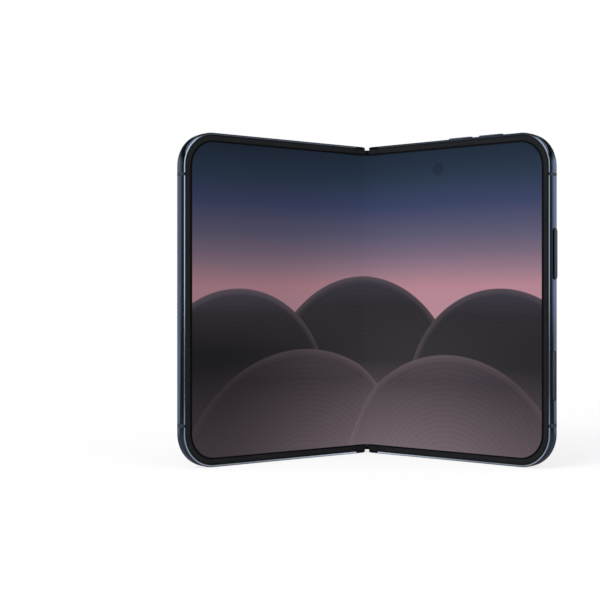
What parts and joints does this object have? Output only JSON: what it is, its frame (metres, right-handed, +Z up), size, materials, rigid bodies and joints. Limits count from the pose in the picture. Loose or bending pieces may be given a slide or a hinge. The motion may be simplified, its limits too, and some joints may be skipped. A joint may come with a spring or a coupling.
{
  "type": "foldable smartphone",
  "caption": "Book-style foldable phone with a geared two-pin hinge, folding inner screen, cover screen and camera plateau, standing half open.",
  "frame": {"origin": "centre of the half-open phone's footprint, on the surface it stands on", "axes": "+X to the right as the inner screen is looked at, +Y away from the viewer towards the spine, +Z up along the fold"},
  "size_m": [0.1306, 0.0532, 0.1166],
  "materials": {
    "navy_frame": "polished, dark navy anodised",
    "surround": "fine satin moulded",
    "antenna_insert": "satin moulded",
    "back_glass": "satin-etched, coloured from behind",
    "cover_glass": "polished",
    "lens_glass": "polished, coated",
    "lens_ring": "turned and polished",
    "camera_housing": "matte black",
    "flash_window": "clear, ribbed",
    "contact_gold": "plated",
    "screen": "lit panel under hard-coated film",
    "cover_screen": "dark panel",
    "hinge_steel": "satin",
    "board": "solder mask",
    "shield": "tin-plated",
    "battery_pouch": "laminated foil pouch",
    "coil_copper": "copper winding",
    "ribbon_film": "amber film",
    "speaker_box": "moulded"
  },
  "bodies": {
    "spine": {"hinge_spine": "navy_frame", "spine_end_caps": "surround", "hinge_blocks": "hinge_steel", "hinge_pins": "hinge_steel", "friction_washers": "contact_gold", "hinge_screws": "hinge_steel", "display_fold": "screen", "hinge_ribbon": "ribbon_film"},
    "right_half": {"right_frame": "navy_frame", "right_bezel_trim": "surround", "right_fold_caps": "surround", "right_antenna_bands": "antenna_insert", "rear_cover": "back_glass", "main_camera_ring": "lens_ring", "main_camera_glass": "lens_glass", "wide_camera_ring": "lens_ring", "wide_camera_glass": "lens_glass", "rear_camera_modules": "camera_housing", "flash_lens": "flash_window", "flash_module": "contact_gold", "rear_microphone": "shield", "display_right": "screen", "display_support_right": "hinge_steel", "logic_board": "board", "board_shields": "shield", "right_battery": "battery_pouch", "charging_coil": "coil_copper", "haptic_motor": "hinge_steel", "right_speaker": "speaker_box", "usb_port": "hinge_steel", "dock_board": "board", "inner_camera_module": "camera_housing", "key_switches": "hinge_steel", "right_magnets": "hinge_steel", "right_hinge_wing": "hinge_steel", "right_wing_screws": "hinge_steel", "right_sync_gear": "hinge_steel"},
    "left_half": {"left_frame": "navy_frame", "left_bezel_trim": "surround", "left_fold_caps": "surround", "left_antenna_bands": "antenna_insert", "cover_glass": "cover_glass", "cover_display": "cover_screen", "cover_camera_module": "camera_housing", "display_left": "screen", "display_support_left": "hinge_steel", "left_battery": "battery_pouch", "left_board": "board", "left_speaker": "speaker_box", "earpiece_speaker": "speaker_box", "left_magnets": "hinge_steel", "left_hinge_wing": "hinge_steel", "left_wing_screws": "hinge_steel", "left_sync_gear": "hinge_steel"},
    "idler_right": {"idler_gear_right": "hinge_steel"},
    "idler_left": {"idler_gear_left": "hinge_steel"},
    "power_button": {"power_button": "navy_frame"},
    "capture_key": {"capture_key": "navy_frame"},
    "volume_up_key": {"volume_up_key": "navy_frame"},
    "volume_down_key": {"volume_down_key": "navy_frame"}
  },
  "joints": [
    {"name": "right_fold", "type": "hinge", "parent": "spine", "child": "right_half", "pos_m": [0.0021, 0.02332, 0.058], "axis": [0, 0, 1], "range_deg": [-51.8, 38.2], "deforming": ["display_fold", "hinge_ribbon"]},
    {"name": "left_fold", "type": "hinge", "parent": "spine", "child": "left_half", "pos_m": [-0.0021, 0.02332, 0.058], "axis": [0, 0, 1], "range_deg": [-38.2, 51.8]},
    {"name": "idler_right_spin", "type": "hinge", "parent": "spine", "child": "idler_right", "pos_m": [0.0007, 0.02332, 0.058], "axis": [0, 0, 1], "range_deg": [-38.2, 51.8]},
    {"name": "idler_left_spin", "type": "hinge", "parent": "spine", "child": "idler_left", "pos_m": [-0.0007, 0.02332, 0.058], "axis": [0, 0, 1], "range_deg": [-51.8, 38.2]},
    {"name": "power_press", "type": "slide", "parent": "right_half", "child": "power_button", "axis": [0.7859, -0.6184, 0], "range_m": [-0.00025, 0], "stiffness_N_per_m": 3000},
    {"name": "capture_press", "type": "slide", "parent": "right_half", "child": "capture_key", "axis": [0.7859, -0.6184, 0], "range_m": [-0.00025, 0], "stiffness_N_per_m": 3000},
    {"name": "volume_up_press", "type": "slide", "parent": "right_half", "child": "volume_up_key", "axis": [0, 0, 1], "range_m": [-0.00025, 0], "stiffness_N_per_m": 3000},
    {"name": "volume_down_press", "type": "slide", "parent": "right_half", "child": "volume_down_key", "axis": [0, 0, 1], "range_m": [-0.00025, 0], "stiffness_N_per_m": 3000}
  ],
  "couplings": [
    {"joint": "left_fold", "follows": "right_fold", "ratio": -1},
    {"joint": "idler_right_spin", "follows": "right_fold", "ratio": -1},
    {"joint": "idler_left_spin", "follows": "right_fold", "ratio": 1}
  ]
}
